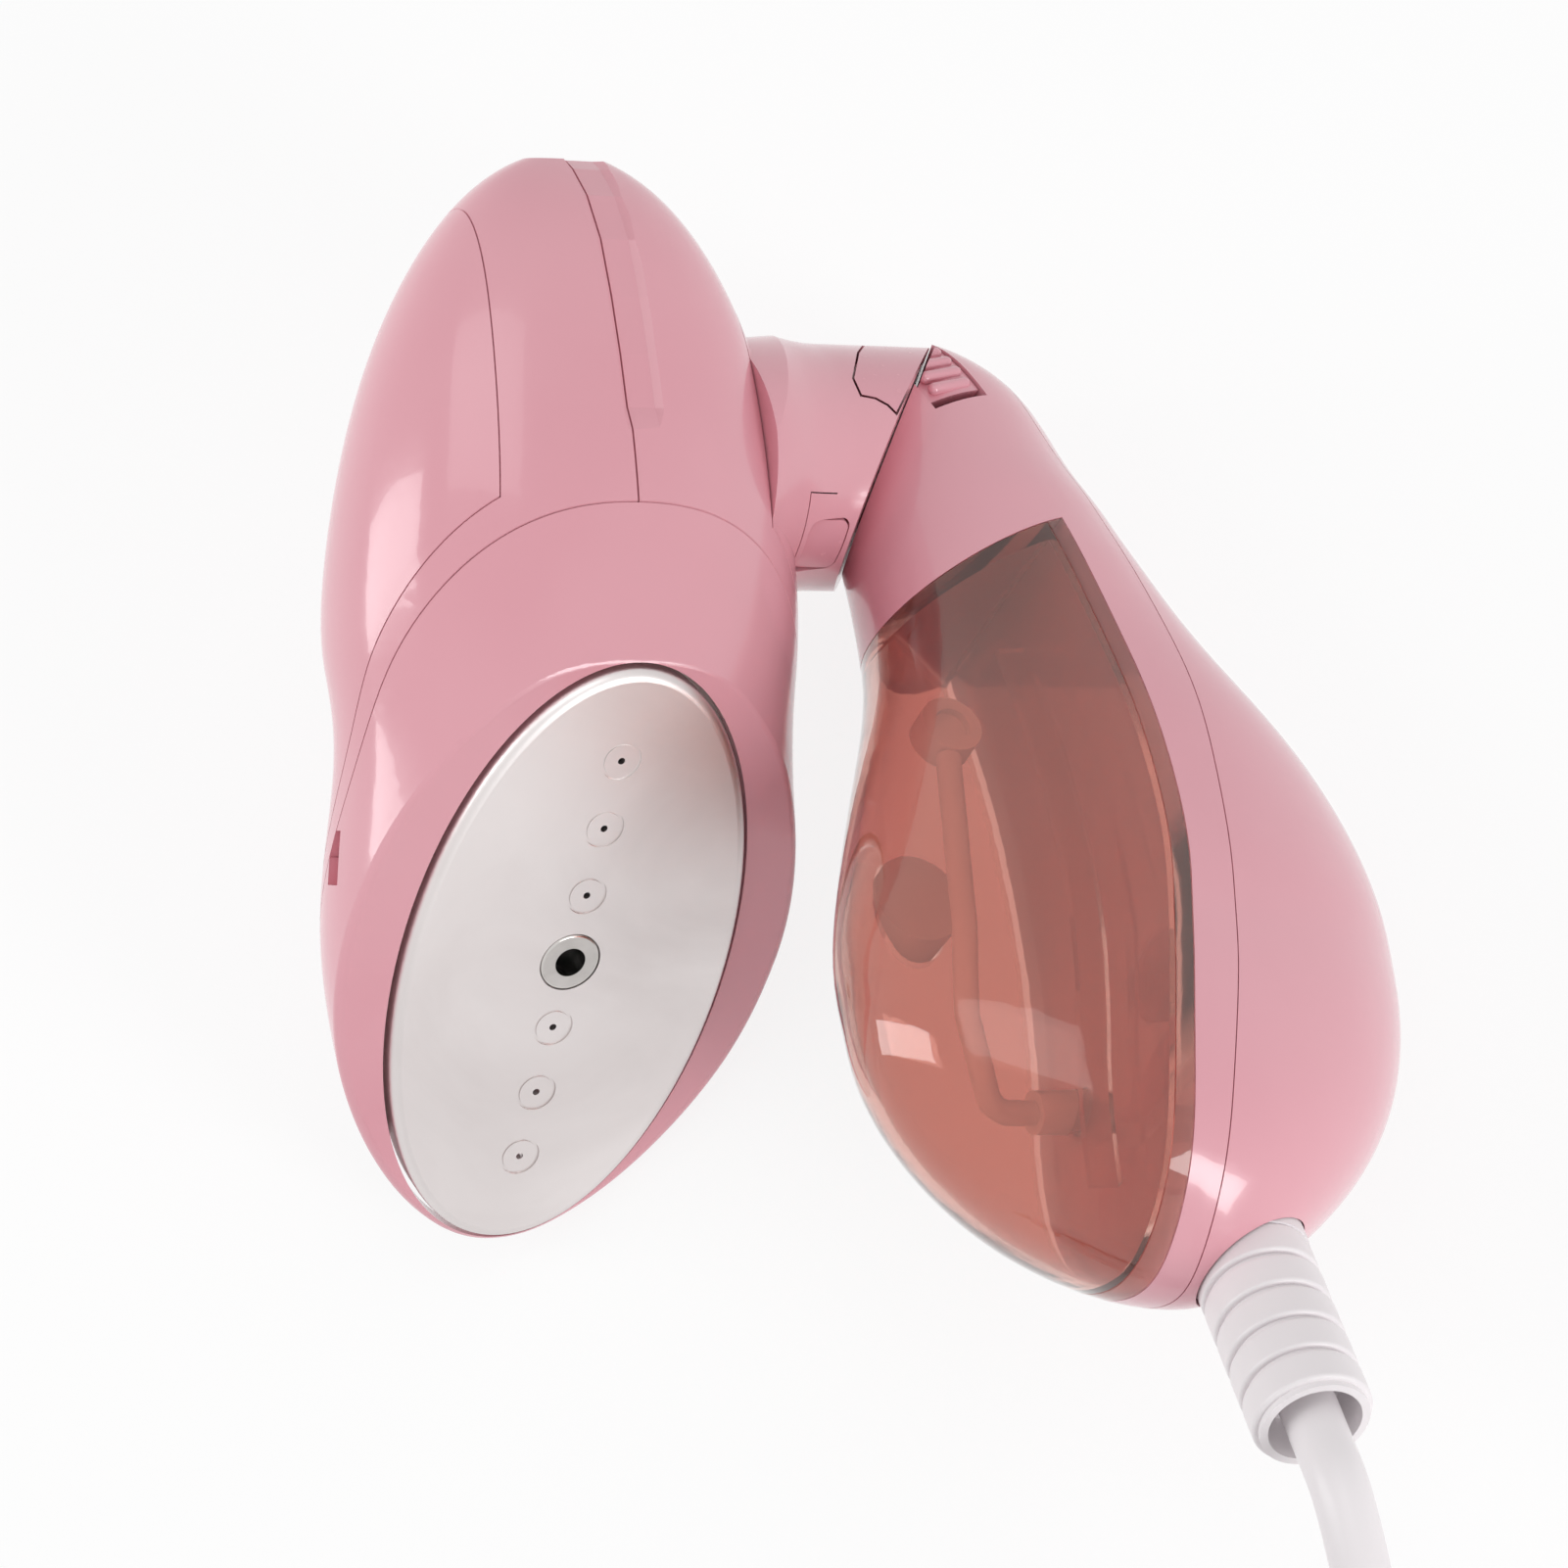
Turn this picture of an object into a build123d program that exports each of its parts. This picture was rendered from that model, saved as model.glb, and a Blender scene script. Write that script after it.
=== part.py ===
from build123d import *
from math import acos, cos, pi, radians, sin, sqrt, tan
import os

# Folding garment steamer, modelled folded: a head with an oval steam plate, a short neck, and a
# drop-shaped handle with a water tank. Millimetres. Design axes: origin at the plate centre,
# X along the neck, Y along the head to its rear. LIE lays the whole thing on its three rest points.
os.makedirs("parts", exist_ok=True)

# driving dimensions
WALL = 2.2
GAP = 0.16
HEAD_HALF_WIDTH = 29.5
FRONT_POWER = 2.4
PLATE_A = 40.0
PLATE_B = 21.8
PLATE_TILT = 30.0
LIP = 2.6
LIP_ROUND = 1.1
RING_DEPTH = 10.0
COVER_X = 16.6
COVER_X_RIGHT = 20.5
NECK_R = 15.3
NECK_END_R = 17.4
NECK_BORE = 12.6
NECK_Y = 60.0
NECK_Z = -3.0
PIVOT_R = 8.0
HANDLE_TILT = 35.0
TANK_WALL = 1.8
BOOT_R = 7.3
BOOT_BORE = 4.1
CORD_R = 3.4

N = Vector(0, -sin(radians(PLATE_TILT)), cos(radians(PLATE_TILT)))
P = Vector(0, cos(radians(PLATE_TILT)), sin(radians(PLATE_TILT)))
PLATE = Plane(origin=(0, 0, 0), x_dir=tuple(P), z_dir=tuple(N))
MITRE_N = Vector(0.81, -0.36, 0.463).normalized()
MITRE_O = Vector(45.4, NECK_Y, NECK_Z)
MITRE = Plane(origin=tuple(MITRE_O), x_dir=(0, 0.79, 0.613), z_dir=tuple(MITRE_N))
K = radians(HANDLE_TILT)
HANDLE = Plane(origin=(50, 56, 0), x_dir=(1, 0, 0), z_dir=(0, sin(K), cos(K)))


def solid(shape):
    """The shape as one solid, its largest."""
    found = sorted(shape.solids(), key=lambda s: s.volume)
    return found[-1]


def half(plane, at=0.0):
    """A large block on the far side of a plane moved by AT along its normal."""
    return plane * Pos(0, 0, 200 + at) * Box(500, 500, 400)


def slab(plane, low, high):
    return plane * Pos(0, 0, (low + high) / 2) * Box(500, 500, high - low)


def between(table, y):
    """A value from a table of (y, value) rows with y rising."""
    for (y0, v0), (y1, v1) in zip(table, table[1:]):
        if y <= y1:
            return v0 + (v1 - v0) * max(0.0, (y - y0) / (y1 - y0))
    return table[-1][1]


# head: an egg along Y, its sections slightly squared ovals
TOP = [(-40, 20.4), (35, 20.4), (54, 19.7), (60.7, 18.4), (66.5, 17.1), (76, 14.4), (85.7, 10.6),
       (92.3, 6.3), (96.3, 1.6)]
LOW = [(-39, -19.0), (-36.5, -21.2), (-33, -22.4), (-27, -22.8), (40, -22.6), (54, -21.6), (64, -19.4),
       (74, -16.2), (83, -12.6), (90, -8.8), (94, -5.4), (96.3, -2.6)]


def head_width(y):
    """Half the head's width at y: straight in its middle, a full curve in front and an ellipse behind."""
    if y < 10:
        return HEAD_HALF_WIDTH * (1 - ((10 - y) / 49.2) ** FRONT_POWER) ** (1 / FRONT_POWER)
    if y > 39:
        return HEAD_HALF_WIDTH * sqrt(1 - ((y - 39) / 58.2) ** 2)
    return HEAD_HALF_WIDTH


def head_section(y, inset):
    w = head_width(y) - inset
    top = between(TOP, y) - inset
    low = between(LOW, y) + inset
    points = []
    for i in range(20):
        a = 2 * pi * i / 20
        c = cos(a)
        s = sin(a)
        x = w * abs(c) ** (2 / 2.25) * (1 if c >= 0 else -1)
        z = (top - low) / 2 * abs(s) ** (2 / 2.25) * (1 if s >= 0 else -1)
        points.append((x, y, (top + low) / 2 + z))
    return make_face(Spline(*points, periodic=True))


HEAD_Y = [-38.6, -36.5, -33, -25, -12, 10, 36, 54, 68, 80, 89, 94, 96.2]
INNER_Y = [-33, -29, -20, -8, 10, 36, 54, 68, 80, 88, 92.5]
egg = loft([head_section(y, 0) for y in HEAD_Y])
egg_in = loft([head_section(y, WALL) for y in INNER_Y])

front = half(PLATE, 0)
hollow = egg_in - half(PLATE, -LIP)
head = egg - front - hollow
opening = PLATE * extrude(Ellipse(PLATE_A + 0.6, PLATE_B + 0.6), 20, both=True)
ring = solid((head & half(PLATE, -RING_DEPTH)) - opening)
lip = [f for f in ring.faces() if abs(f.center().dot(N)) < 0.05 and abs(f.normal_at().dot(N)) > 0.999][0]
ring = fillet(lip.outer_wire().edges(), LIP_ROUND)
notch = Pos(-29.4, 12, -3) * Box(3.2, 6.5, 3.2)
ring = solid(ring - notch)

rear = head - half(PLATE, -RING_DEPTH - GAP)
rows = []
for y, deep in [(62, -0.4), (65.5, 0.75), (72, 0.8), (79, 0.85), (86, 0.9), (91.5, 1.0), (95, 1.2), (98, 1.6)]:
    z = between(TOP, min(y, 96.3)) - max(0.0, y - 96.3) * 2.0
    corners = [(-1.3, y, z + 1.2), (6.4, y, z + 1.2), (3.7, y, z - deep), (-0.5, y, z - deep)]
    rows.append(make_face(Polyline(*corners, close=True)))
rear = rear - loft(rows, ruled=True)

X_SIDE = Plane(origin=(0, 0, 0), x_dir=(0, 1, 0), z_dir=(1, 0, 0))
BACK = half(PLATE, -13.0)
LEFT = Plane(origin=(-COVER_X, 57, 0), x_dir=(0, 0, 1), z_dir=(-1, 0.064, 0))
left_side = half(LEFT, 0)
right_side = half(X_SIDE, COVER_X_RIGHT)
side_cover_left = solid((rear & left_side) - BACK)
left_all = rear - half(X_SIDE, -0.12)
clear_left = half(LEFT, -GAP)
clear_left = clear_left - half(PLATE, -13.0 + GAP)
head_shell_left = solid(left_all - clear_left)
right_all = rear & half(X_SIDE, 0.12)
clear_right = half(X_SIDE, COVER_X_RIGHT - GAP) - half(PLATE, -13.0 + GAP)
head_shell_right = solid(right_all - clear_right)

# neck: a flared tube on the right side cover, cut square to the swivel axis
flare = [(10, 19.8), (20.5, 19.2), (24.5, 17.7), (28, 16.3), (32, 15.5), (36, NECK_R)]
flare = Spline(*flare, tangents=[(1, 0), (1, 0)])
flare = Polyline((10, 0), (10, 19.8)) + flare + Polyline((36, NECK_R), (70, NECK_R), (70, 0), (10, 0))
flare = make_face(flare)
trumpet = Pos(0, NECK_Y, NECK_Z) * revolve(flare, Axis.X)
bore = Pos(40, NECK_Y, NECK_Z) * Rot(0, 90, 0) * Cylinder(NECK_BORE, 70)
cover_right = (rear & right_side) - BACK
# the flare fades out towards the back and below, where the head falls away from it
ROOT = Plane(origin=(20.5, NECK_Y - 2.33, NECK_Z + 2.33), z_dir=(1, 0.097, -0.097))
tube = trumpet & right_side & ROOT * Cylinder(17.5, 120)
tube = tube - egg_in - half(MITRE, -GAP / 2) - BACK
wall = (trumpet & right_side) & slab(MITRE, -3.4, -GAP / 2)
neck = cover_right + tube - bore + wall
neck = neck - MITRE * Cylinder(PIVOT_R + 0.05, 15)
neck = neck - (half(X_SIDE, MITRE_O.X) - Pos(*MITRE_O) * Sphere(NECK_END_R))
neck = solid(neck)
front_side = Pos(60, NECK_Y - 4.0 - 50, 0) * Box(2 * (60 - 26.6), 100, 100)
front_gap = Pos(60, NECK_Y - 4.0 - 50 + GAP / 2, 0) * Box(2 * (60 - 26.6 + GAP), 100 + GAP, 100)
inside = slab(MITRE, -3.4, 10)
neck_cover = solid((neck & front_side) - inside)
neck_body = solid(neck - (front_gap - inside))

# steam button on the neck's front, keeper block of the handle lock on its rear
BUTTON_DIR = Vector(0, -0.656, 0.755).normalized()
BUTTON = Plane(origin=(30.5, NECK_Y, NECK_Z), x_dir=(1, 0, 0), z_dir=tuple(BUTTON_DIR))
pad = BUTTON * extrude(RectangleRounded(5.4, 7.4, 1.1), 30)
pad_hole = BUTTON * Pos(0, 0, 9.5) * extrude(RectangleRounded(6.0, 8.0, 1.4), 30)
skin = Pos(40, NECK_Y, NECK_Z) * Rot(0, 90, 0) * Cylinder(NECK_R + 0.25, 70)
stem_core = Pos(40, NECK_Y, NECK_Z) * Rot(0, 90, 0) * Cylinder(10.6, 70)
steam_button = solid((pad & skin) - stem_core)
neck_cover = solid(neck_cover - pad_hole)
neck_body = solid(neck_body - pad_hole)
switch_bracket = BUTTON * Pos(-1, 0, 1.6) * Box(7.0, 40, 1.6)
switch_bracket = solid(switch_bracket & bore)
micro_switch = Pos(-1, 0, 4.9) * Box(5.8, 12.8, 5.0) + Pos(0, 3.2, 7.6) * Box(1.6, 1.8, 0.8)
micro_switch = solid(BUTTON * micro_switch)
coil_line = Helix(pitch=0.85, height=2.55, radius=1.25)
wire_start = Plane(origin=tuple(coil_line @ 0), z_dir=tuple(coil_line % 0))
button_spring = sweep(wire_start * Circle(0.22), path=coil_line)
button_spring = solid(BUTTON * Pos(0, -1.2, 7.7) * button_spring)

SEE = Vector(-0.47, 0, 0.8827).normalized()
EYE = Plane(origin=(0, 0, 0), x_dir=(0.8827, 0, 0.47), z_dir=tuple(SEE))
ear = [(38.2, 76.2), (36.2, 75.3), (35.4, 74.0), (34.7, 70.4), (35.7, 68.1), (37.5, 67.8), (39.0, 67.0),
       (40.2, 65.8), (45.2, 76.2)]
ear_cut = EYE * extrude(make_face(Polyline(*ear, close=True)), 60, both=True)
ear_cut = ear_cut & (Pos(40, NECK_Y + 20, NECK_Z + 30) * Box(60, 60, 60))
shell_zone = Pos(40, NECK_Y, NECK_Z) * Rot(0, 90, 0) * (Cylinder(NECK_R + 2, 70) - Cylinder(NECK_R - 2.0, 72))
lock_keeper = (neck_body & ear_cut) & shell_zone
neck_body = solid(neck_body - (ear_cut & shell_zone))
ear_in = EYE * extrude(offset(make_face(Polyline(*ear, close=True)), -0.28), 60, both=True)
lock_keeper = solid(lock_keeper & ear_in)

# steam plate: a shallow pan with six dimples and a centre hole
pan = extrude(Ellipse(PLATE_A, PLATE_B), 4.0)
pan = fillet(pan.faces().sort_by(Axis.Z)[-1].edges(), 1.3)
pan = Pos(0, 0, -LIP) * pan
pan = pan - Pos(0, 0, -LIP) * extrude(Ellipse(PLATE_A - 1.2, PLATE_B - 1.2), 2.8)
PITCH = 9.3
for i in (-3, -2, -1, 1, 2, 3):
    pan = pan - Pos(i * PITCH, 0, 1.4) * Cylinder(2.55, 0.5)
    pan = pan + Pos(i * PITCH, 0, 1.0) * (Cylinder(2.2, 0.6))
    pan = pan - Pos(i * PITCH, 0, 0) * Cylinder(0.45, 6)
pan = pan - Cylinder(3.05, 10) - Pos(0, 0, 1.28) * Cylinder(3.95, 1.0)
SCREWS = [(20, 11.3), (20, -11.3), (-4, 9), (-4, -9)]
for sx, sy in SCREWS:
    pan = pan + Pos(sx, sy, -1.1) * Cylinder(2.4, 3.0)
    pan = pan - Pos(sx, sy, -1.7) * Cylinder(1.55, 2.6)
steam_plate = solid(PLATE * pan)
nozzle = Pos(0, 0, 1.13) * Cylinder(3.85, 0.7) + Pos(0, 0, -1.1) * Cylinder(3.0, 4.4)
nozzle = fillet(nozzle.edges().sort_by(Axis.Z)[-1], 0.35) - Cylinder(1.95, 20)
steam_nozzle = solid(PLATE * nozzle)
gasket = Ellipse(PLATE_A + 2.2, PLATE_B + 2.2) - Ellipse(PLATE_A - 2.5, PLATE_B - 2.5)
gasket = extrude(gasket, 1.5)
plate_gasket = solid(PLATE * Pos(0, 0, -LIP - 1.5) * gasket & egg_in)

# heater behind the plate
block = Pos(9, 0, -11.6) * extrude(Ellipse(25, 15.5), 8.4)
block = block - Pos(9, 0, -7.2) * extrude(Ellipse(16, 4.0), 4.2)
for sx, sy in SCREWS:
    block = block - Pos(sx, sy, -8) * Cylinder(1.65, 20)
block = block - Cylinder(3.1, 12)
heater_block = solid(PLATE * block)
screw = Pos(0, 0, -6.6) * Cylinder(1.5, 10.4) + Pos(0, 0, -12.65) * Cylinder(2.7, 1.9)
plate_screws = [PLATE * Pos(sx, sy, 0) * screw for sx, sy in SCREWS]
u_path = Polyline((31, 5.6), (6, 5.6)) + ThreePointArc((6, 5.6), (0.4, 0), (6, -5.6))
u_path = u_path + Polyline((6, -5.6), (31, -5.6))
element = sweep(Plane(origin=(31, 5.6, 0), z_dir=(-1, 0, 0)) * Circle(2.4), path=Wire(u_path.edges()))
heater_element = solid(PLATE * Pos(0, 0, -14.1) * element)
thermostat = solid(PLATE * Pos(14, 0, -19.0) * (Cylinder(7.0, 5) + Pos(0, 0, -3.4) * Cylinder(4.5, 1.8)))
thermal_fuse = solid(PLATE * Pos(9, 11.0, -13.7) * Rot(0, 90, 0) * Cylinder(1.9, 14))
inlet = PLATE * Pos(30.5, 0, -11.6 - 4) * (Cylinder(2.6, 8) - Cylinder(1.4, 9))
inlet_fitting = solid(inlet)


def run_tube(points, radius, bore_radius=0.0):
    """A tube on straight runs and tangent arcs."""
    turns = []
    for a, b, c in zip(points, points[1:], points[2:]):
        u = (Vector(*b) - Vector(*a))
        v = (Vector(*c) - Vector(*b))
        ang = acos(max(-1, min(1, u.normalized().dot(v.normalized()))))
        turns.append(0.45 * min(u.length, v.length) / tan(ang / 2))
    bend = min(turns)
    line = FilletPolyline(*points, radius=bend)
    start = Plane(origin=tuple(line @ 0), z_dir=tuple(line % 0))
    body = sweep(start * Circle(radius), path=line)
    if bore_radius:
        body = body - sweep(start * Circle(bore_radius), path=line)
    return solid(body), line


p0 = PLATE.from_local_coords(Vector(30.5, 0, -19.6))
steam_feed_tube, _ = run_tube([tuple(p0), tuple(p0 - N * 9), (14, 59, -10), (34, 61, -10)], 2.2, 1.3)

# handle: a drop along its own axis, y down the handle negative
ROWS = [(21.6, 1.6, -2.0, 1.5), (20.9, 4.8, -1.8, 4.6), (19.2, 8.2, -1.3, 8.0), (15.5, 11.4, 0.2, 11.1),
        (11.0, 13.3, 1.8, 12.9), (2.2, 14.9, 3.0, 14.4), (-7.0, 16.4, 3.8, 15.9), (-16.0, 18.3, 4.7, 17.0),
        (-25.0, 20.9, 5.4, 17.7), (-34.4, 25.1, 5.9, 18.5), (-43.5, 29.6, 6.1, 19.6), (-53.0, 33.4, 5.6, 20.4),
        (-62.5, 36.0, 4.4, 21.0), (-71.5, 36.8, 3.1, 21.0), (-80.5, 36.2, 1.8, 20.9), (-89.5, 33.4, 1.0, 20.3),
        (-98.4, 27.6, 0.6, 18.6), (-105.2, 20.0, 0.6, 15.6), (-110.6, 11.6, 0.6, 10.4), (-113.9, 5.4, 0.6, 5.0),
        (-115.0, 1.8, 0.6, 1.7)]
T_TABLE = [(y, t) for y, w, x, t in reversed(ROWS)]


def oval(y, w, x, t, inset):
    return HANDLE * Plane(origin=(x, y, 0), x_dir=(1, 0, 0), z_dir=(0, -1, 0)) * Ellipse(w - inset, t - inset)


drop = loft([oval(*row, 0) for row in ROWS])
drop_in = loft([oval(*row, WALL) for row in ROWS[2:-2]])
drop_tank = loft([oval(*row, TANK_WALL) for row in ROWS[6:-2]])


def wall_curve(points, low=-60, high=60):
    """A block left of a curve in the handle's plane, upright along its thickness."""
    line = Spline(*points)
    a = points[0]
    b = points[-1]
    edge = make_face(line + Polyline(b, (-80, b[1]), (-80, a[1]), a))
    return HANDLE * Pos(0, 0, low) * extrude(edge, high - low)


LINE_A = [(4.5, 40), (5.2, 0), (6.2, -13), (7.4, -27), (7.0, -49), (3.6, -69), (-1.6, -86), (-5.4, -102),
          (-6.0, -125)]
LINE_B = [(10.5, 40), (10.5, 7), (14.8, -18), (15.6, -35), (12.2, -57), (6.6, -79), (0.6, -97), (-2.4, -110),
          (-2.8, -125)]


def moved(points, dx):
    return [(x + dx, y) for x, y in points]


TOP_CUT = HANDLE * Plane(origin=(0, -17, 0), x_dir=(0, 0, 1), z_dir=(-0.3, 0.954, 0))


def below(at):
    """All that lies below the tank's upper edge, moved by AT along the handle."""
    return TOP_CUT * Pos(0, 0, at - 200) * Box(500, 500, 400)


tank_zone = wall_curve(moved(LINE_A, -GAP)) & below(-GAP)
tank_all = drop & tank_zone
tank_room = drop_tank & below(-2.0) & wall_curve(moved(LINE_A, -2.4))
tank_body = (tank_all & wall_curve(moved(LINE_A, -2.6))) - tank_room
tank_lid = solid(tank_all - wall_curve(moved(LINE_A, -2.45)))
rib = (drop_tank & below(-2.0) & wall_curve(moved(LINE_A, -2.45))) - wall_curve(moved(LINE_A, -6.5))
rib = rib & (HANDLE * Pos(0, 0, 2.1) * Box(400, 400, 1.2)) & (HANDLE * Pos(0, -63, 0) * Box(400, 76, 400))
tank_lid = solid(tank_lid + rib)
tank_body = solid(tank_body)

keep = wall_curve(LINE_A) & below(0)
shell = (drop - drop_in) + (drop & (wall_curve(moved(LINE_A, 2.0)) - wall_curve(LINE_A)) & below(2.0))
shell = shell + (drop & wall_curve(moved(LINE_A, 2.0)) & (below(2.0) - below(0)))
shell = shell - keep - (MITRE * Pos(0, 0, GAP / 2 - 200) * Box(500, 500, 400))
end_wall = drop & slab(MITRE, GAP / 2, 3.0)
shell = shell + end_wall
shell = shell - MITRE * Cylinder(PIVOT_R + 0.01, 30)
handle_frame = shell & wall_curve(moved(LINE_B, -GAP / 2))
handle_back = shell - wall_curve(moved(LINE_B, GAP / 2))

# hollow pivot between neck and handle, with its clip
pivot = Pos(0, 0, -1.0) * (Cylinder(PIVOT_R, 11.0) - Cylinder(PIVOT_R - 1.6, 20))
pivot = pivot - Pos(0, 0, -5.2) * (Cylinder(20, 1.3) - Cylinder(PIVOT_R - 0.6, 2))
pivot_tube = solid(MITRE * pivot)
clip = Pos(0, 0, -5.2) * (Cylinder(PIVOT_R + 2.2, 1.1) - Cylinder(PIVOT_R - 0.55, 2))
clip = clip - Pos(0, 12, -5.2) * Box(5, 24, 3)
pivot_clip = solid(MITRE * clip)

# lock slider on the handle's upper face, with five ribs
LEAN = 12.5
SL = HANDLE * Pos(-1.0, 12.2, 0) * Rot(0, 0, LEAN)
slot = SL * Pos(0, -0.525, 12) * Box(7.6, 13.05, 24)
key = SL * Pos(0, 0, 14) * Box(7.0, 11.4, 20)
drop_slide_in = loft([oval(*row, 3.4) for row in ROWS[2:9]])
lock_slider = (loft([oval(*row, 0.45) for row in ROWS[1:9]]) & key) - drop_slide_in
for i in range(5):
    y = -4.2 + 2.05 * i
    hy = 12.2 + y * cos(radians(LEAN))
    z = between(T_TABLE, hy) - 0.55
    bar = SL * Pos(0, y, z) * Rot(0, 90, 0) * Cylinder(0.8, 4.6)
    ends = SL * Pos(2.3, y, z) * Sphere(0.8) + SL * Pos(-2.3, y, z) * Sphere(0.8)
    lock_slider = lock_slider + bar + ends
lock_slider = solid(lock_slider - MITRE * Pos(0, 0, 0.6 - 200) * Box(500, 500, 400))
handle_frame = handle_frame - slot
handle_back = handle_back - slot

# strain relief and the cord's way out
BOOT_DIR = Vector(-0.12, -0.665, 0.735).normalized()
boot_at = HANDLE.from_local_coords(Vector(7.4, -102.6, -0.5))
BOOT = Plane(origin=tuple(boot_at), x_dir=(1, 0, 0), z_dir=tuple(BOOT_DIR))
boot = Pos(0, 0, 5) * Cylinder(BOOT_R, 10)
for i in range(5):
    z0 = 10.0 + 5.0 * i
    seg = Pos(0, 0, z0 + 2.2) * Cylinder(BOOT_R - 0.1, 4.4)
    seg = fillet(seg.edges(), 0.5)
    boot = boot + seg + Pos(0, 0, z0 + 4.7) * Cylinder(BOOT_R - 0.75, 1.0)
boot = boot - Pos(0, 0, 33) * Cylinder(BOOT_R - 1.7, 8) - Pos(0, 0, 30) * Cylinder(BOOT_BORE, 40)
boot = boot - Pos(0, 0, 5) * Cylinder(CORD_R + 0.3, 14)
flange = Pos(0, 0, -0.4) * (Cylinder(BOOT_R + 2.0, 2.4) - Cylinder(CORD_R + 0.3, 6))
strain_relief = solid(BOOT * (boot + flange))
boot_hole = BOOT * Pos(0, 0, 10) * Cylinder(BOOT_R + 0.2, 40)
flange_room = BOOT * Pos(0, 0, -0.4) * Cylinder(BOOT_R + 2.2, 2.9)
handle_frame = handle_frame - boot_hole - flange_room
handle_back = handle_back - boot_hole - flange_room

handle_frame = solid(handle_frame)
handle_back = solid(handle_back)

# insides of the handle: a chassis plate that carries the pump, the terminals and the cord clamp
lower = drop_in - wall_curve(moved(LINE_A, 2.0)) - (HANDLE * Pos(0, 50, 0) * Box(400, 160, 400))
chassis_plate = solid(lower & (HANDLE * Pos(0, 0, -14.0) * Box(400, 400, 1.6)))
pump = HANDLE * Pos(19.2, -56, 0) * Rot(90, 0, 0) * Cylinder(9.0, 26)
pump = pump + HANDLE * Pos(19.2, -56, 0) * Box(15, 14, 22)
pump = pump + HANDLE * Pos(19.2, -72, 0) * Rot(90, 0, 0) * Cylinder(2.3, 9)
pump = pump + HANDLE * Pos(19.2, -40, 0) * Rot(90, 0, 0) * Cylinder(2.3, 9)
pump_body = solid(pump)
pump_mount = solid(HANDLE * Pos(19.2, -56, -12.1) * Box(13, 16, 2.2))
terminal_block = solid(HANDLE * Pos(18.6, -84, -9.7) * Box(9, 8, 7))
cord_clamp = HANDLE * Pos(11.5, -97, -5.1) * Box(13, 4.6, 16.2)
cord_clamp = solid((cord_clamp - BOOT * Cylinder(CORD_R, 60)) & drop_in)
feed_points = [Vector(19.2, -35.4, 0), Vector(19.2, -26, 0), Vector(13, -12, 0), Vector(6, 3, -1)]
pump_outlet_tube, _ = run_tube([tuple(HANDLE.from_local_coords(p)) for p in feed_points], 2.2, 1.3)
in_points = [Vector(19.2, -76.6, 0), Vector(19.2, -83.5, 0), Vector(9.5, -87, -4.5), Vector(6.5, -84, -9),
             Vector(1.6, -84, -9)]
pump_inlet_tube, _ = run_tube([tuple(HANDLE.from_local_coords(p)) for p in in_points], 2.2, 1.3)

# tank outlet, its seal, the pick-up tube and its weight
outlet = HANDLE * Pos(-4.9, -84, -9) * Rot(0, 90, 0) * Cylinder(2.6, 7)
valve_hole = HANDLE * Pos(-1, -84, -9) * Rot(0, 90, 0) * Cylinder(2.65, 16)
outlet = outlet & wall_curve(moved(LINE_A, -GAP))
tank_valve = solid(outlet - HANDLE * Pos(-5, -84, -9) * Rot(0, 90, 0) * Cylinder(1.5, 20))
tank_lid = solid(tank_lid - valve_hole)
handle_frame = solid(handle_frame - HANDLE * Pos(2, -84, -9) * Rot(0, 90, 0) * Cylinder(3.0, 10))
seal = HANDLE * Pos(0.3, -84, -9) * Rot(0, 90, 0) * (Cylinder(2.98, 2.5) - Cylinder(1.4, 4))
seal = seal - wall_curve(moved(LINE_A, -GAP / 2))
pick_points = [Vector(-8.45, -84, -9), Vector(-14, -84, -9), Vector(-19, -76, 0), Vector(-19.3, -67.4, 6),
               Vector(-13.13, -43.08, 5.13)]
pickup_tube, _ = run_tube([tuple(HANDLE.from_local_coords(p)) for p in pick_points], 1.5, 0.9)
weight = HANDLE * Pos(-12.2, -39.4, 5) * (Cylinder(3.8, 4) - Pos(0, 0, 1.6) * Cylinder(2.2, 1.2))
pickup_weight = solid(weight)

# filler plug in the tank's underside
PLUG_AT = (-13, -52)
plug_hole = HANDLE * Pos(PLUG_AT[0], PLUG_AT[1], -20) * Cylinder(6.2, 24)
tank_body = solid(tank_body - plug_hole)
plug = HANDLE * Pos(PLUG_AT[0], PLUG_AT[1], -14.6) * Cylinder(5.9, 7.0)
filler_plug = solid(plug & loft([oval(*row, 0.2) for row in ROWS[6:-2]]))

# the resting pose: the steamer lies on its front ring and on the two shells of the handle
LIE_UP = (-0.57104, 0.26996, 0.77526)
LIE_X = (0.80516, 0.0, 0.59306)
LIE_SHIFT = (-35.625, -15.173, 30.009)
lie = Location(Plane(origin=(0, 0, 0), x_dir=LIE_X, z_dir=LIE_UP)).inverse()
lie = Location(LIE_SHIFT) * lie


def laid(point):
    return (lie * Location(tuple(point))).position


# cord: out of the strain relief, down to the floor, a put-away coil of two layers, a tail and a plug
root = laid(boot_at)
leave = (laid(boot_at + BOOT_DIR * 100) - root).normalized()
COIL_PITCH = 7.4
COIL_TURNS_LOW = 3.25
COIL_TURNS_UP = 3.0
COIL_IN = 24.0
COIL_OUT = COIL_IN + COIL_PITCH * COIL_TURNS_LOW
COIL_Z = 5.0
COIL_RISE = 7.4
COIL_AT = (78.6 - COIL_OUT, -190.2)
run_points = [tuple(root - leave * 13), tuple(root + leave * 48.6), (67.8, -116.6, 48.7), (74.7, -131.7, 37.5),
              (78.6, -145.8, 16.1), (78.6, -169.2, COIL_Z), (78.6, COIL_AT[1], COIL_Z)]
cord_run, run_line = run_tube(run_points, CORD_R)


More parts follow.
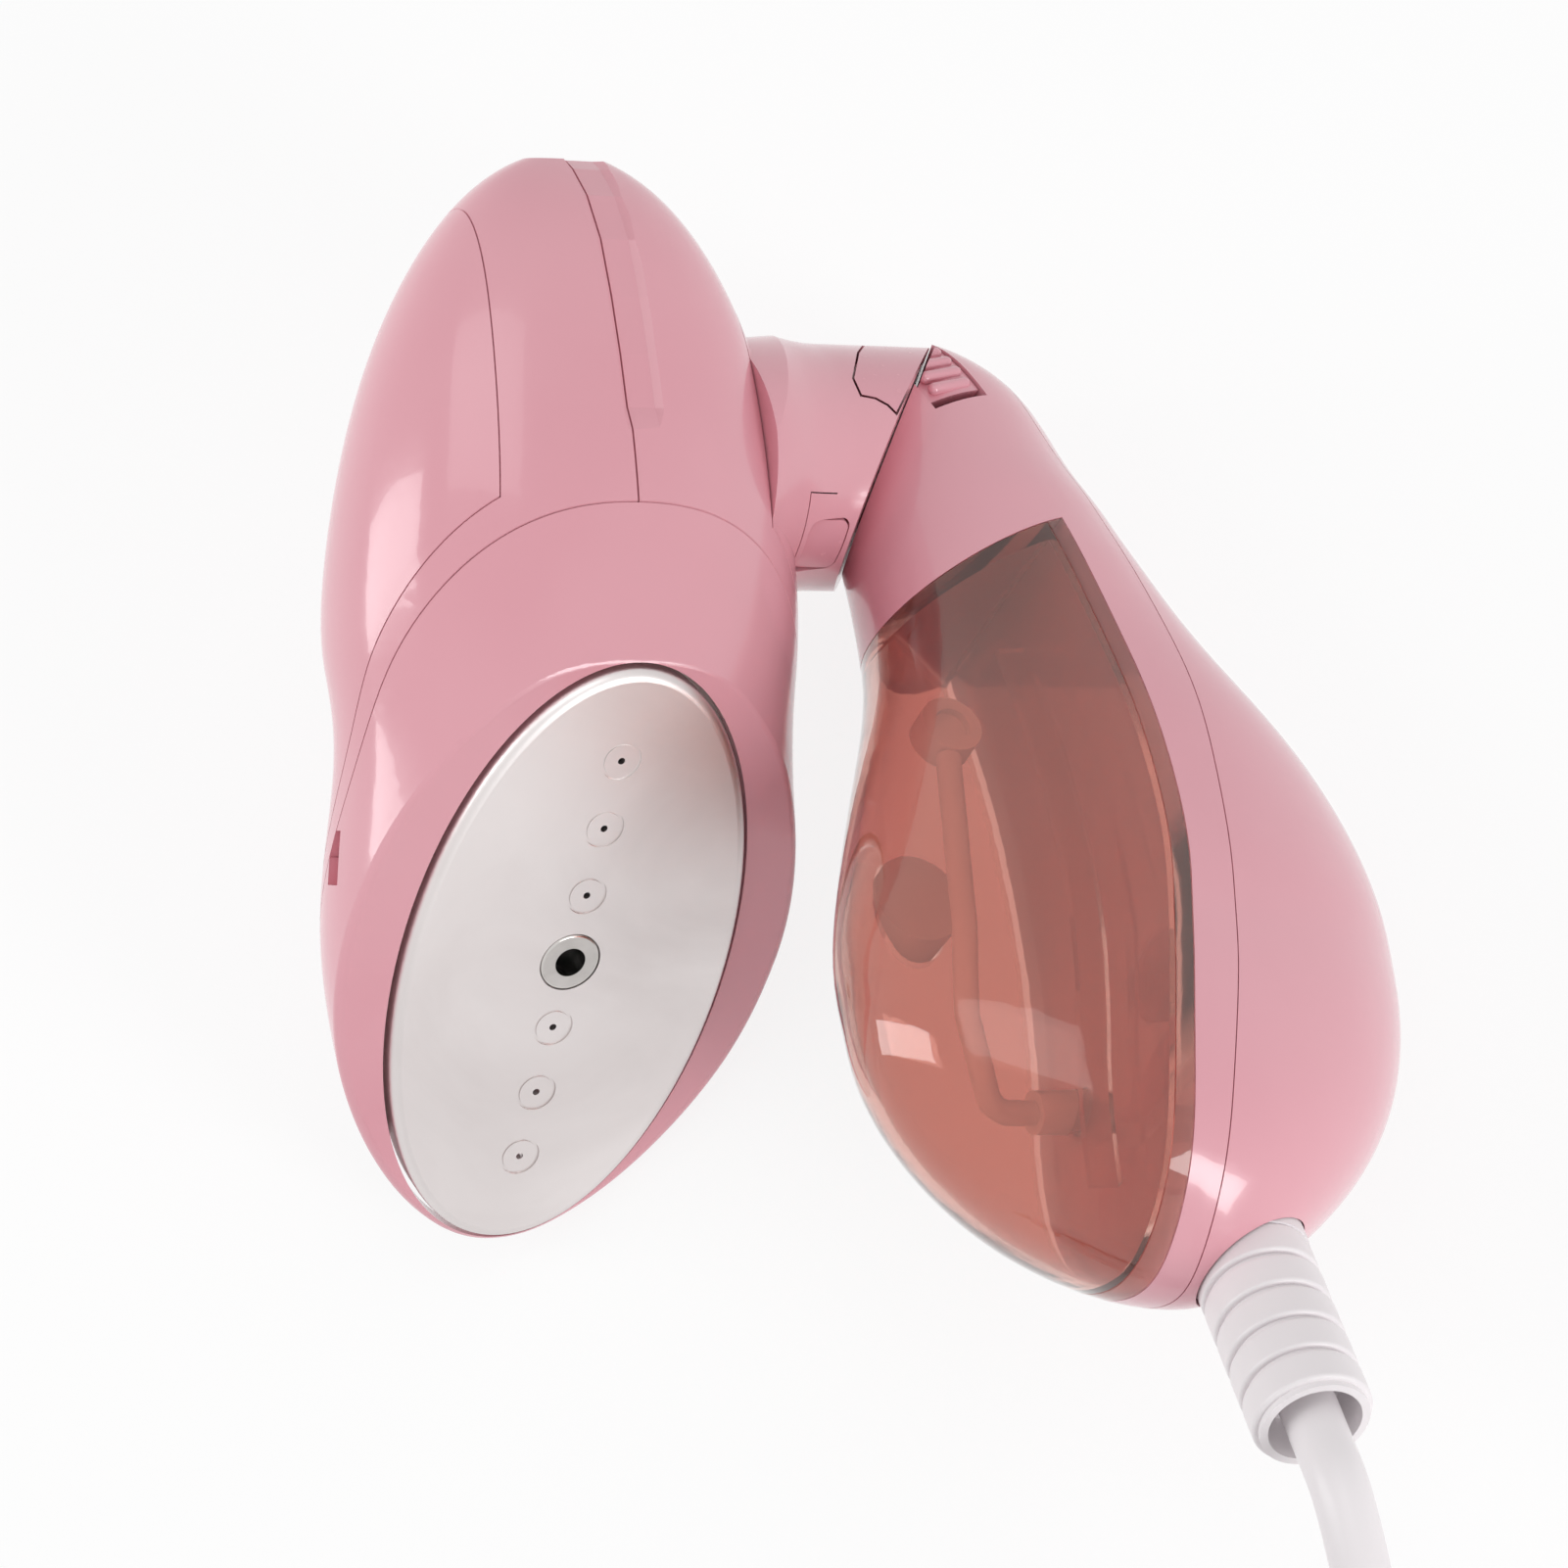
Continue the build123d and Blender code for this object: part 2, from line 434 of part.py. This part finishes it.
def coil_point(f):
    """Point on the coil after f turns: in on the floor layer, one turn up, and out on the upper layer."""
    u = min(1.0, max(0.0, f - COIL_TURNS_LOW))
    if f < COIL_TURNS_LOW:
        r = COIL_OUT - COIL_PITCH * f
    else:
        r = COIL_IN - 3.4 * sin(pi * u) + COIL_PITCH * max(0.0, f - COIL_TURNS_LOW - 1)
    a = -2 * pi * f
    return Vector(COIL_AT[0] + r * cos(a), COIL_AT[1] + r * sin(a), COIL_Z + COIL_RISE * u * u * (3 - 2 * u))


def biarc(p0, t0, p1, t1):
    v = p1 - p0
    t = t0 + t1
    k = 2 * (1 - t0.dot(t1))
    d = (-v.dot(t) + sqrt(v.dot(t) ** 2 + k * v.dot(v))) / k
    q0 = p0 + t0 * d
    q1 = p1 - t1 * d
    j = (q0 + q1) * 0.5
    return [TangentArc(p0, j, tangent=t0), TangentArc(j, p1, tangent=(q1 - q0).normalized())]


steps = int(round((COIL_TURNS_LOW + 1 + COIL_TURNS_UP) * 4))
knots = [coil_point(i / 4) for i in range(steps + 1)]
ways = [(coil_point(i / 4 + 0.01) - coil_point(i / 4 - 0.01)).normalized() for i in range(steps + 1)]
ways[0] = Vector(0, -1, 0)
ways[-1] = Vector(-1, 0, 0)
arcs = []
for i in range(steps):
    arcs = arcs + biarc(knots[i], ways[i], knots[i + 1], ways[i + 1])
coil_wire = Wire([e for arc in arcs for e in arc.edges()])
coil_start = Plane(origin=tuple(knots[0]), z_dir=tuple(ways[0]))
cord_coil = solid(sweep(coil_start * Circle(CORD_R), path=coil_wire))
last = knots[-1]
PLUG_Z = 7.4
tail_points = [tuple(last), (last.X - 15.5, last.Y, last.Z), (last.X - 31, last.Y, PLUG_Z),
               (last.X - 45, last.Y, PLUG_Z)]
cord_tail, tail_line = run_tube(tail_points, CORD_R)
print("cord length", round(run_line.length + coil_wire.length + tail_line.length + 20))
plug_dir = (tail_line % 1).normalized()
PLUG = Plane(origin=tuple(tail_line @ 1), x_dir=(0, 0, 1), z_dir=tuple(plug_dir))
plug_body = Pos(0, 0, 6) * Cylinder(5.4, 12) + Pos(0, 0, 22) * Box(13.6, 24, 20)
plug_body = plug_body + Pos(0, 0, 12) * extrude(Rectangle(13.6, 24), -6, taper=40)
plug_body = solid(PLUG * fillet(plug_body.edges().filter_by(Axis.Z), 2.5))
plug_pins = [solid(PLUG * Pos(0, y, 41.0) * fillet(Cylinder(2.0, 18).edges().sort_by(Axis.Z)[-1], 1.0))
             for y in (-9.25, 9.25)]
TIE = Plane(origin=(COIL_AT[0] - 32.75, COIL_AT[1], COIL_Z + COIL_RISE / 2), x_dir=(1, 0, 0), z_dir=(0, 1, 0))
strap = RectangleRounded(32.9, 16.8, 5.0) - RectangleRounded(31.1, 15.0, 4.1)
cord_tie = solid(TIE * extrude(strap, 4, both=True))
cord_parts = {"cord_run": cord_run, "cord_coil": cord_coil, "cord_tail": cord_tail, "cord_tie": cord_tie,
              "plug_body": plug_body, "plug_pins": Compound(children=plug_pins)}

parts = {
    "head_shell_left": head_shell_left, "head_shell_right": head_shell_right, "side_cover": side_cover_left,
    "neck_housing": neck_body, "neck_cover": neck_cover, "lock_keeper": lock_keeper, "front_ring": ring,
    "steam_plate": steam_plate, "steam_nozzle": steam_nozzle, "plate_gasket": plate_gasket,
    "heater_block": heater_block, "heating_element": heater_element, "thermostat": thermostat,
    "thermal_fuse": thermal_fuse, "inlet_fitting": inlet_fitting, "steam_feed_tube": steam_feed_tube,
    "plate_screws": Compound(children=[solid(s) for s in plate_screws]), "micro_switch": micro_switch,
    "switch_bracket": switch_bracket, "button_spring": button_spring, "steam_button": steam_button,
    "pivot_tube": pivot_tube, "pivot_clip": pivot_clip, "lock_slider": lock_slider,
    "handle_frame": handle_frame, "handle_back": handle_back, "strain_relief": strain_relief,
    "pump": pump_body, "pump_mount": pump_mount, "terminal_block": terminal_block, "cord_clamp": cord_clamp,
    "chassis_plate": chassis_plate,
    "pump_outlet_tube": pump_outlet_tube, "pump_inlet_tube": pump_inlet_tube, "tank_body": tank_body,
    "tank_lid": tank_lid, "tank_valve": tank_valve, "tank_seal": solid(seal), "pickup_tube": pickup_tube,
    "pickup_weight": pickup_weight, "filler_plug": filler_plug}
finished = {name: lie * item for name, item in parts.items()}
finished.update(cord_parts)
for name, item in finished.items():
    print(name, round(item.volume), item.is_valid, len(item.solids()))
    export_step(item, f"parts/{name}.step")
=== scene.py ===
import math
import bpy
from mathutils import Matrix, Vector


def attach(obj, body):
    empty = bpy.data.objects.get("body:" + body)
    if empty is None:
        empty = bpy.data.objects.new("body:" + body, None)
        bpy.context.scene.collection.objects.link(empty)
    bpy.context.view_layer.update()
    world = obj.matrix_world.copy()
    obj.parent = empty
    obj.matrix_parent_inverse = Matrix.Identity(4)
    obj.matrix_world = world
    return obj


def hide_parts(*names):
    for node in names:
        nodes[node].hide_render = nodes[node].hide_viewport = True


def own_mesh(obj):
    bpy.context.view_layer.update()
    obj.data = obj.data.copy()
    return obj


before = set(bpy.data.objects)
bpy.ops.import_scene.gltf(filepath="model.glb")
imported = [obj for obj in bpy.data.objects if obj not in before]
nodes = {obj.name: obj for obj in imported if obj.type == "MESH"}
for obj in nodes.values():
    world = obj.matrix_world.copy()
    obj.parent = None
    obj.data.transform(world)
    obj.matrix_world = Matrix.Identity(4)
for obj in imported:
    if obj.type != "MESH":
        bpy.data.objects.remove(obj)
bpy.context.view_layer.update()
scene = bpy.context.scene
scene.view_settings.view_transform = "Standard"

# Head mouldings: the front ring round the steam plate, two rear half shells, the left side cover and
# the right one with its flared neck. They are injection moulded in ABS from a polished tool, so the
# pink is even, the gloss is high and the skin has only a faint ripple.
MM = 1000


def colour(text):
    """A hex colour as linear RGBA."""
    parts = [int(text[i:i + 2], 16) / 255 for i in (1, 3, 5)]
    return [c / 12.92 if c <= 0.04045 else ((c + 0.055) / 1.055) ** 2.4 for c in parts] + [1.0]


def add(tree, kind, inputs=(), **settings):
    """A new node with its settings and its inputs, either values or (node, output) links."""
    node = tree.nodes.new(kind)
    for key, value in settings.items():
        setattr(node, key, value)
    for key, value in dict(inputs).items():
        if isinstance(value, tuple) and isinstance(value[0], bpy.types.Node):
            tree.links.new(value[0].outputs[value[1]], node.inputs[key])
        else:
            node.inputs[key].default_value = value
    return node


def start(name, sockets):
    """A new material with values on its shader's own sockets: material, tree, shader, object place."""
    mat = bpy.data.materials.new(name)
    mat.use_nodes = True
    tree = mat.node_tree
    shader = tree.nodes["Principled BSDF"]
    for socket, value in sockets.items():
        shader.inputs[socket].default_value = value
    return mat, tree, shader, (add(tree, "ShaderNodeTexCoord"), "Object")


def two_tones(tree, shader, pattern, low, high, span=(0.35, 0.65)):
    """The base colour, from one tone to the other as the pattern rises over its span."""
    ramp = add(tree, "ShaderNodeValToRGB", {"Fac": (pattern, "Fac")})
    for element, at, tone in zip(ramp.color_ramp.elements, span, (low, high)):
        element.position = at
        element.color = colour(tone)
    tree.links.new(ramp.outputs["Color"], shader.inputs["Base Color"])


def surface(tree, shader, gloss, rough, relief, strength, depth):
    """Roughness from one value to the other as the gloss pattern rises, and a fine relief."""
    spread = add(tree, "ShaderNodeMapRange",
                 {"Value": (gloss, "Fac"), "To Min": rough[0], "To Max": rough[1]})
    tree.links.new(spread.outputs["Result"], shader.inputs["Roughness"])
    bump = add(tree, "ShaderNodeBump",
               {"Height": (relief, "Fac"), "Strength": strength, "Distance": depth})
    tree.links.new(bump.outputs["Normal"], shader.inputs["Normal"])


def per_metre(size_mm):
    """The scale of a noise whose patches are this many millimetres across."""
    return MM / size_mm


def moulded(name, low, high, rough, coat=0.0, patch_mm=55.0, grain_mm=1.1, ripple=0.02):
    """Moulded plastic: two close tones in wide soft patches, and a fine skin in its gloss and relief."""
    sockets = {"IOR": 1.5, "Coat Weight": coat, "Coat Roughness": 0.05}
    mat, tree, shader, place = start(name, sockets)
    patch = add(tree, "ShaderNodeTexNoise",
                {"Vector": place, "Scale": per_metre(patch_mm), "Detail": 3.0})
    two_tones(tree, shader, patch, low, high)
    skin = add(tree, "ShaderNodeTexNoise",
               {"Vector": place, "Scale": per_metre(grain_mm), "Detail": 2.0})
    surface(tree, shader, skin, (rough * 0.85, rough * 1.2), skin, ripple, 0.2 / MM)
    return mat


def dress(mat, *names):
    """Put one material on these CAD nodes."""
    for name in names:
        nodes[name].data.materials.clear()
        nodes[name].data.materials.append(mat)


pink_abs = moulded("gloss_abs_pink", "#E19DA9", "#E5A5B0", 0.2, coat=0.5)
dress(pink_abs, "front_ring", "head_shell_left", "head_shell_right", "side_cover", "neck_housing",
      "neck_cover")


# Steam plate: a shallow oval pan pressed from thin stainless sheet, with six dimples round the steam
# holes. Its face is satin from fine polishing along its length, and handling leaves cloudy smudges.
def satin_metal(name, low, high, rough, drawn_mm=(25.0, 1.6, 1.6), smudge_mm=38.0):
    """Satin metal: fine drawn lines along one axis, and cloudy smudges in its gloss and tone."""
    mat, tree, shader, place = start(name, {"Metallic": 1.0})
    lines = add(tree, "ShaderNodeMapping",
                {"Vector": place, "Scale": [per_metre(s) for s in drawn_mm]})
    drawn = add(tree, "ShaderNodeTexNoise", {"Vector": (lines, "Vector"), "Scale": 1.0, "Detail": 4.0})
    cloud = add(tree, "ShaderNodeTexNoise",
                {"Vector": place, "Scale": per_metre(smudge_mm), "Detail": 6.0, "Distortion": 1.2})
    two_tones(tree, shader, cloud, low, high, span=(0.30, 0.62))
    surface(tree, shader, cloud, (rough * 1.25, rough * 0.85), drawn, 0.05, 0.1 / MM)
    return mat


dress(satin_metal("satin_stainless_steel", "#D6CFCE", "#E4DEDD", 0.36), "steam_plate")

# Steam nozzle and plate screws: small turned steel pieces. The nozzle is flanged and sits in the middle
# hole, and the four screws pull the plate onto the heater from behind.
turned_steel = satin_metal("turned_stainless_steel", "#B4B0AC", "#CFCBC8", 0.2, smudge_mm=16.0)
dress(turned_steel, "steam_nozzle", "plate_screws")

# Heater: a cast aluminium block with its water inlet, and a bent element in a steel sheath beside the
# thermostat. Castings are pale and grainy, and the sheath has dulled with heat.
cast_aluminium = satin_metal("cast_aluminium", "#A5A5A5", "#BDBDBD", 0.5, (3.3, 3.3, 3.3), 8.0)
dress(cast_aluminium, "heater_block", "inlet_fitting")
dull_sheath = satin_metal("dull_steel_sheath", "#6E6C6B", "#8A8786", 0.45, smudge_mm=11.0)
dress(dull_sheath, "heating_element", "thermostat")

# Soft parts: the plate gasket, the hoses, the pump's mount, the tank seal and the filler plug, all
# moulded in white silicone with a dull, slightly dusty skin.
silicone = moulded("silicone_rubber_white", "#DAD6D1", "#E6E2DD", 0.5, ripple=0.05)
dress(silicone, "plate_gasket", "steam_feed_tube", "pump_mount", "pump_outlet_tube",
      "pump_inlet_tube", "tank_seal", "filler_plug")

# Steam button, its lock keeper and the ribbed lock slider: small ABS mouldings from another tool, so
# their rose is a little deeper and their gloss a little lower than the shells'.
rose_abs = moulded("gloss_abs_rose", "#DD97A4", "#E2A0AC", 0.25, coat=0.4)
dress(rose_abs, "steam_button", "lock_keeper", "lock_slider")

# Switch, spring and pivot: a black nylon micro switch on a white bracket under the button, a wound
# steel spring, and the hollow pivot with the steel clip that holds the handle on the neck.
black_nylon = moulded("nylon_black", "#2A2829", "#363334", 0.45)
white_nylon = moulded("nylon_white", "#E4E1DC", "#EFECE8", 0.42)
spring_steel = satin_metal("spring_steel_wire", "#A8A8AA", "#C4C4C6", 0.25, smudge_mm=5.0)
dress(black_nylon, "micro_switch")
dress(white_nylon, "switch_bracket", "thermal_fuse", "pivot_tube")
dress(spring_steel, "button_spring", "pivot_clip")
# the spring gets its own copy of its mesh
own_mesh(nodes["button_spring"])

# Handle: two ABS shells of the same pink, split along a curved seam, round a white chassis plate that
# carries the black pump, the terminal block and the cord clamp.
dress(pink_abs, "handle_frame", "handle_back")
dress(black_nylon, "pump")
dress(white_nylon, "chassis_plate", "terminal_block", "cord_clamp")


# Water tank: a shell in clear styrene tinted rose brown, closed by a much paler back wall whose edge
# shows as a clear flange. One tinted wall only warms what is behind it, and two in a row go deep. Their
# IOR is set under styrene's own, because the thin walls' edges go black with that, and a coat gives
# back the gloss of the moulded faces.
def clear_plastic(name, tint, ior, rough=0.05, flow_mm=45.0):
    """Clear tinted plastic with faint flow marks in its gloss and relief."""
    sockets = {"Base Color": colour(tint), "Transmission Weight": 0.94, "IOR": ior,
               "Coat Weight": 1.0, "Coat Roughness": 0.04}
    mat, tree, shader, place = start(name, sockets)
    flow = add(tree, "ShaderNodeTexNoise",
               {"Vector": place, "Scale": per_metre(flow_mm), "Detail": 2.0})
    surface(tree, shader, flow, (rough * 0.7, rough * 1.4), flow, 0.03, 1 / MM)
    return mat


dress(clear_plastic("tinted_clear_styrene", "#E4AC9F", 1.2), "tank_body")
dress(clear_plastic("pale_clear_styrene", "#F6DDD6", 1.08), "tank_lid")

# Inside the tank: a soft silicone hose and its end disc take the water to the nylon valve in the back
# wall. They show through the tank as dim shapes.
dress(silicone, "pickup_tube", "pickup_weight")
dress(white_nylon, "tank_valve")

# Strain relief and cord: soft white PVC, the ribbed boot moulded onto a round two-core lead. The lead
# bends over to the floor, and the rest is put away in a tied coil of two layers with its plug beside it.
# Sizes are in millimetres.
CORD_WIDE = 6.8
CORD_X = 78.6
COIL_IN = 24.0
COIL_PITCH = 7.4
COIL_TURNS_LOW = 3.25
COIL_TURNS_UP = 3.0
COIL_Z = 5.0
COIL_RISE = 7.4
COIL_OUT = COIL_IN + COIL_PITCH * COIL_TURNS_LOW
COIL_AT = (CORD_X - COIL_OUT, -190.2)
TAIL_Y = -236.4
TAIL_Z = COIL_Z + COIL_RISE
PLUG_Z = 7.4
STEPS = 16
# the turn that climbs is drawn in by this much, clear of both layers
CLIMB_IN = 3.4
# a control point lies this much outside the circle that the spline draws
SPREAD = 1.0196


def coil_point(f):
    """A control point after f turns: in on the floor layer, one turn up, and out on the upper layer."""
    u = min(1.0, max(0.0, f - COIL_TURNS_LOW))
    if f < COIL_TURNS_LOW:
        r = COIL_OUT - COIL_PITCH * f
    else:
        out = max(0.0, f - COIL_TURNS_LOW - 1)
        r = COIL_IN - CLIMB_IN * math.sin(math.pi * u) + COIL_PITCH * out
    a = -2 * math.pi * f
    return (COIL_AT[0] + SPREAD * r * math.cos(a), COIL_AT[1] + SPREAD * r * math.sin(a),
            COIL_Z + COIL_RISE * u * u * (3 - 2 * u))


route = [(50.35, -58.27, 41.78), (57.48, -75.51, 51.43), (61.76, -85.85, 57.22), (67.8, -116.6, 48.7),
         (74.7, -131.7, 37.5), (CORD_X, -145.8, 16.1), (CORD_X, -169.2, COIL_Z), (CORD_X, -182.0, COIL_Z)]
turns = COIL_TURNS_LOW + 1 + COIL_TURNS_UP
route += [coil_point(i / STEPS) for i in range(1, int(turns * STEPS))]
route += [(30.55, TAIL_Y, TAIL_Z), (15.05, TAIL_Y, TAIL_Z), (-0.45, TAIL_Y, PLUG_Z), (-14.45, TAIL_Y, PLUG_Z)]
line = bpy.data.curves.new("mains_cord", "CURVE")
line.dimensions = "3D"
line.bevel_depth = CORD_WIDE / 2 / MM
line.bevel_resolution = 8
line.resolution_u = 10
line.use_fill_caps = True
spline = line.splines.new("NURBS")
spline.points.add(len(route) - 1)
for point, at in zip(spline.points, route):
    point.co = [c / MM for c in at] + [1]
spline.order_u = 3
spline.use_endpoint_u = True
cord = bpy.data.objects.new("mains_cord", line)
scene.collection.objects.link(cord)
white_pvc = moulded("soft_pvc_white", "#ECE6E8", "#F1ECEE", 0.36, grain_mm=0.7, ripple=0.05)
plated_brass = satin_metal("nickel_plated_brass", "#BBB6A8", "#D0CCC0", 0.2, smudge_mm=12.0)
line.materials.append(white_pvc)
dress(white_pvc, "strain_relief", "plug_body", "cord_run", "cord_coil", "cord_tail")
dress(black_nylon, "cord_tie")
dress(plated_brass, "plug_pins")
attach(cord, "handle")
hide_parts("cord_run", "cord_coil", "cord_tail")

# Floor: a plain white sheet. Seen straight, in metal or through the tank it glows a little, so that it
# comes out white at a light that leaves the pale cord its shading, and it still takes a soft shadow.
FLOOR_SIZE = 6
FLOOR_DROP = 0.5
GLOW = 0.85


def seen_white(tree):
    """1 for a ray straight from the camera, from gloss or through clear plastic, and 0 for others."""
    ray = add(tree, "ShaderNodeLightPath")
    seen = add(tree, "ShaderNodeMath", {0: (ray, "Is Camera Ray"), 1: (ray, "Is Glossy Ray")},
               operation="MAXIMUM")
    return add(tree, "ShaderNodeMath", {0: (seen, "Value"), 1: (ray, "Is Transmission Ray")},
               operation="MAXIMUM")


bpy.ops.mesh.primitive_plane_add(size=FLOOR_SIZE, location=(0, 0, -FLOOR_DROP / MM))
floor = bpy.context.object
floor.name = "floor"
sheet, tree, shader, place = start("matt_white_paper", {"Base Color": colour("#FAFAFA"), "Roughness": 0.8})
share = add(tree, "ShaderNodeMath", {0: (seen_white(tree), "Value"), 1: GLOW}, operation="MULTIPLY")
glow = add(tree, "ShaderNodeEmission", {"Color": (1, 1, 1, 1), "Strength": 1.0})
blend = add(tree, "ShaderNodeMixShader", {0: (share, "Value"), 1: (shader, "BSDF"), 2: (glow, "Emission")})
tree.links.new(blend.outputs["Shader"], tree.nodes["Material Output"].inputs["Surface"])
floor.data.materials.append(sheet)

# Light: a white room, a narrow soft box on each side and a wider one overhead. The room's own light is
# low, and metal, gloss and the clear tank see it as white.
ROOM_LIGHT = 0.5
world = bpy.data.worlds.new("studio")
scene.world = world
world.use_nodes = True
tree = world.node_tree
level = add(tree, "ShaderNodeMapRange",
            {"Value": (seen_white(tree), "Value"), "To Min": ROOM_LIGHT, "To Max": 1.0})
room = tree.nodes["Background"]
room.inputs["Color"].default_value = (1, 1, 1, 1)
tree.links.new(level.outputs["Result"], room.inputs["Strength"])


def softbox(name, place, aim, size, power):
    """A rectangular area lamp that looks from its place to its aim."""
    data = bpy.data.lights.new(name, "AREA")
    data.shape = "RECTANGLE"
    data.size, data.size_y = size
    data.energy = power
    lamp = bpy.data.objects.new(name, data)
    lamp.location = place
    lamp.rotation_euler = (Vector(aim) - Vector(place)).to_track_quat("-Z", "Y").to_euler()
    scene.collection.objects.link(lamp)


MIDDLE = (0, 0, 0.03)
softbox("left", (-0.85, 0.05, 0.5), MIDDLE, size=(0.28, 0.8), power=3.2)
softbox("right", (0.75, -0.48, 0.48), MIDDLE, size=(0.3, 0.6), power=3.8)
softbox("top", (0.0, 0.35, 1.1), (0, 0, 0), size=(0.8, 0.5), power=1.4)

# Camera: above the folded steamer, square to the head's axis and turned towards the plate's side. Its
# axes are written out, because the steamer lies tilted on the floor.
LENS = 149.3
SENSOR = 36
EYE = (0.1045, -0.20404, 0.7807)
RIGHT = (0.98942, 0.03916, -0.13968)
UP = (0.0, 0.96287, 0.26996)
TO_EYE = (0.14507, -0.26711, 0.95269)
cam_data = bpy.data.cameras.new("camera")
cam_data.lens = LENS
cam_data.sensor_width = SENSOR
cam = bpy.data.objects.new("camera", cam_data)
scene.collection.objects.link(cam)
turn = Matrix((RIGHT, UP, TO_EYE)).transposed().to_4x4()
cam.matrix_world = Matrix.Translation(EYE) @ turn
scene.camera = cam
